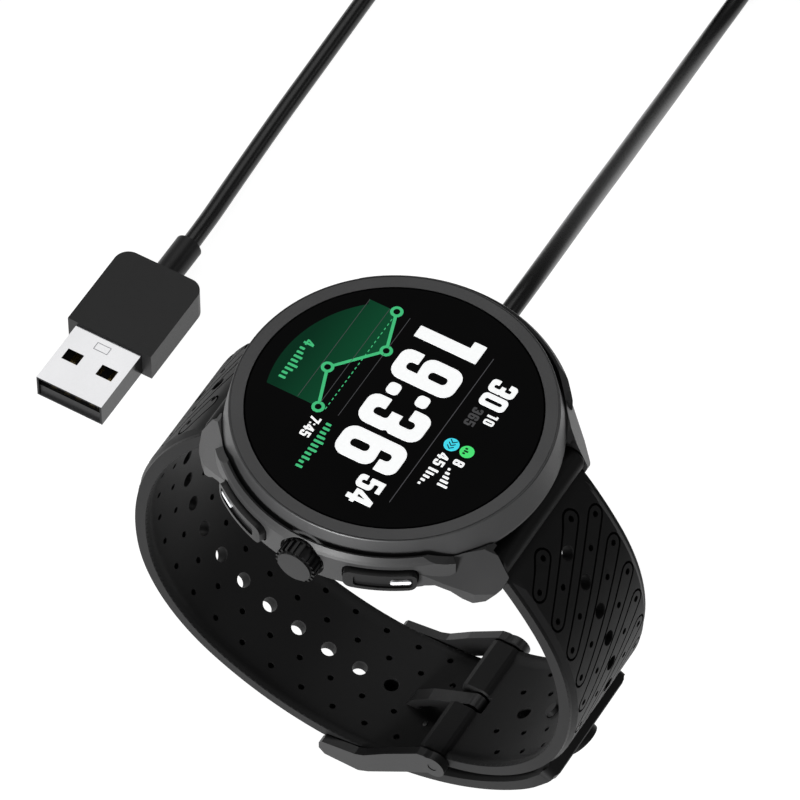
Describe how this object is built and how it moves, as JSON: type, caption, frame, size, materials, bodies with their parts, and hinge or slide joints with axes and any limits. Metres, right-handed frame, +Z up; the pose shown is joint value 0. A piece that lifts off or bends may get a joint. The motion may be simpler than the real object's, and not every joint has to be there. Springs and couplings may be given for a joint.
{
  "type": "gps running watch",
  "caption": "Round sports watch with crown and side pushers on a fastened pin-buckle strap, standing on its strap, with a magnetic charging puck and coiled USB lead.",
  "frame": {"origin": "on the floor, on the flat underside of the buckle, straight below the centre of the dial", "axes": "+X towards the crown (3 o'clock), +Y towards 12 o'clock, +Z up, the way the dial faces"},
  "size_m": [0.2159, 0.1168, 0.076],
  "materials": {
    "case_polymer": "satin near-black",
    "bezel_metal": "satin dark grey anodised",
    "cover_glass": "clear over a black display",
    "seal_rubber": "matt",
    "display_module": "black",
    "gold_contact": "gold plated",
    "chassis_alloy": "matt",
    "circuit_board": "solder mask",
    "tin_plate": "tinned",
    "stainless": "satin",
    "led_lens": "clear green",
    "crown_black": "satin black",
    "crown_grey": "satin grey",
    "strap_silicone": "matt black",
    "buckle_metal": "satin dark grey",
    "charger_plastic": "fine matt black",
    "cable_jacket": "smooth black",
    "plug_shell": "bright nickel"
  },
  "bodies": {
    "charger": {"charger_base": "charger_plastic", "charger_cover": "charger_plastic", "charger_magnets": "stainless", "charger_relief": "cable_jacket", "charge_cable_a": "cable_jacket", "cable_coil": "cable_jacket", "cable_tie": "cable_jacket", "charge_cable_b": "cable_jacket", "usb_overmold": "charger_plastic", "usb_shell": "plug_shell", "usb_tongue": "charger_plastic", "usb_contacts": "gold_contact"},
    "spring_contacts": {"charger_pins": "gold_contact"},
    "watch": {"mid_case": "case_polymer", "bezel": "bezel_metal", "display_glass": "cover_glass", "glass_gasket": "seal_rubber", "display_panel": "display_module", "antenna_ring": "gold_contact", "chassis": "chassis_alloy", "main_board": "circuit_board", "board_parts": "tin_plate", "battery": "chassis_alloy", "vibration_motor": "tin_plate", "side_switches": "tin_plate", "case_back": "case_polymer", "back_gasket": "seal_rubber", "back_screws": "stainless", "sensor_window": "cover_glass", "sensor_leds": "led_lens", "charge_contacts": "gold_contact", "crown_tube": "stainless", "spring_bar_12": "stainless", "spring_bar_6": "stainless", "strap_buckle_half": "strap_silicone", "strap_tail_half": "strap_silicone", "keeper_stud": "strap_silicone"},
    "crown_slider": {"crown_washer": "stainless", "crown_spring": "stainless"},
    "crown": {"crown_knob": "crown_black", "crown_cap": "crown_grey", "crown_stem": "stainless", "crown_seal": "seal_rubber", "crown_clip": "stainless"},
    "upper_pusher": {"upper_pusher_cap": "crown_black", "upper_pusher_stem": "stainless", "upper_pusher_seal": "seal_rubber", "upper_pusher_spring": "stainless", "upper_pusher_clip": "stainless"},
    "lower_pusher": {"lower_pusher_cap": "crown_black", "lower_pusher_stem": "stainless", "lower_pusher_seal": "seal_rubber", "lower_pusher_spring": "stainless", "lower_pusher_clip": "stainless"},
    "release_12": {"release_pin_12": "stainless"},
    "release_6": {"release_pin_6": "stainless"},
    "buckle": {"buckle_frame": "buckle_metal", "buckle_pin": "buckle_metal"},
    "tang": {"buckle_tang": "buckle_metal"}
  },
  "joints": [
    {"name": "watch_lift", "type": "slide", "parent": "charger", "child": "watch", "axis": [0, 0, 1], "range_m": [0, 0.012]},
    {"name": "spring_contacts_press", "type": "slide", "parent": "charger", "child": "spring_contacts", "axis": [0, 0, 1], "range_m": [-0.0004, 0], "stiffness_N_per_m": 500},
    {"name": "crown_press", "type": "slide", "parent": "watch", "child": "crown_slider", "axis": [-1, 0, 0], "range_m": [0, 0.0004], "stiffness_N_per_m": 3000},
    {"name": "crown_turn", "type": "hinge", "parent": "crown_slider", "child": "crown", "pos_m": [0.0252, 0, 0.0703], "axis": [1, 0, 0], "continuous": true},
    {"name": "upper_pusher_press", "type": "slide", "parent": "watch", "child": "upper_pusher", "axis": [-0.8988, -0.4384, 0], "range_m": [0, 0.0005], "stiffness_N_per_m": 3000},
    {"name": "lower_pusher_press", "type": "slide", "parent": "watch", "child": "lower_pusher", "axis": [-0.8988, 0.4384, 0], "range_m": [0, 0.0005], "stiffness_N_per_m": 3000},
    {"name": "release_12_slide", "type": "slide", "parent": "watch", "child": "release_12", "axis": [1, 0, 0], "range_m": [0, 0.0018], "stiffness_N_per_m": 400},
    {"name": "release_6_slide", "type": "slide", "parent": "watch", "child": "release_6", "axis": [1, 0, 0], "range_m": [0, 0.0018], "stiffness_N_per_m": 400},
    {"name": "buckle_swing", "type": "hinge", "parent": "watch", "child": "buckle", "pos_m": [0, 0.0141, 0.0105], "axis": [1, 0, 0], "range_deg": [0, 4]},
    {"name": "tang_swing", "type": "hinge", "parent": "watch", "child": "tang", "pos_m": [0, 0.0141, 0.0105], "axis": [1, 0, 0], "range_deg": [0, 4]}
  ],
  "couplings": [
    {"joint": "tang_swing", "follows": "buckle_swing", "ratio": 1}
  ]
}
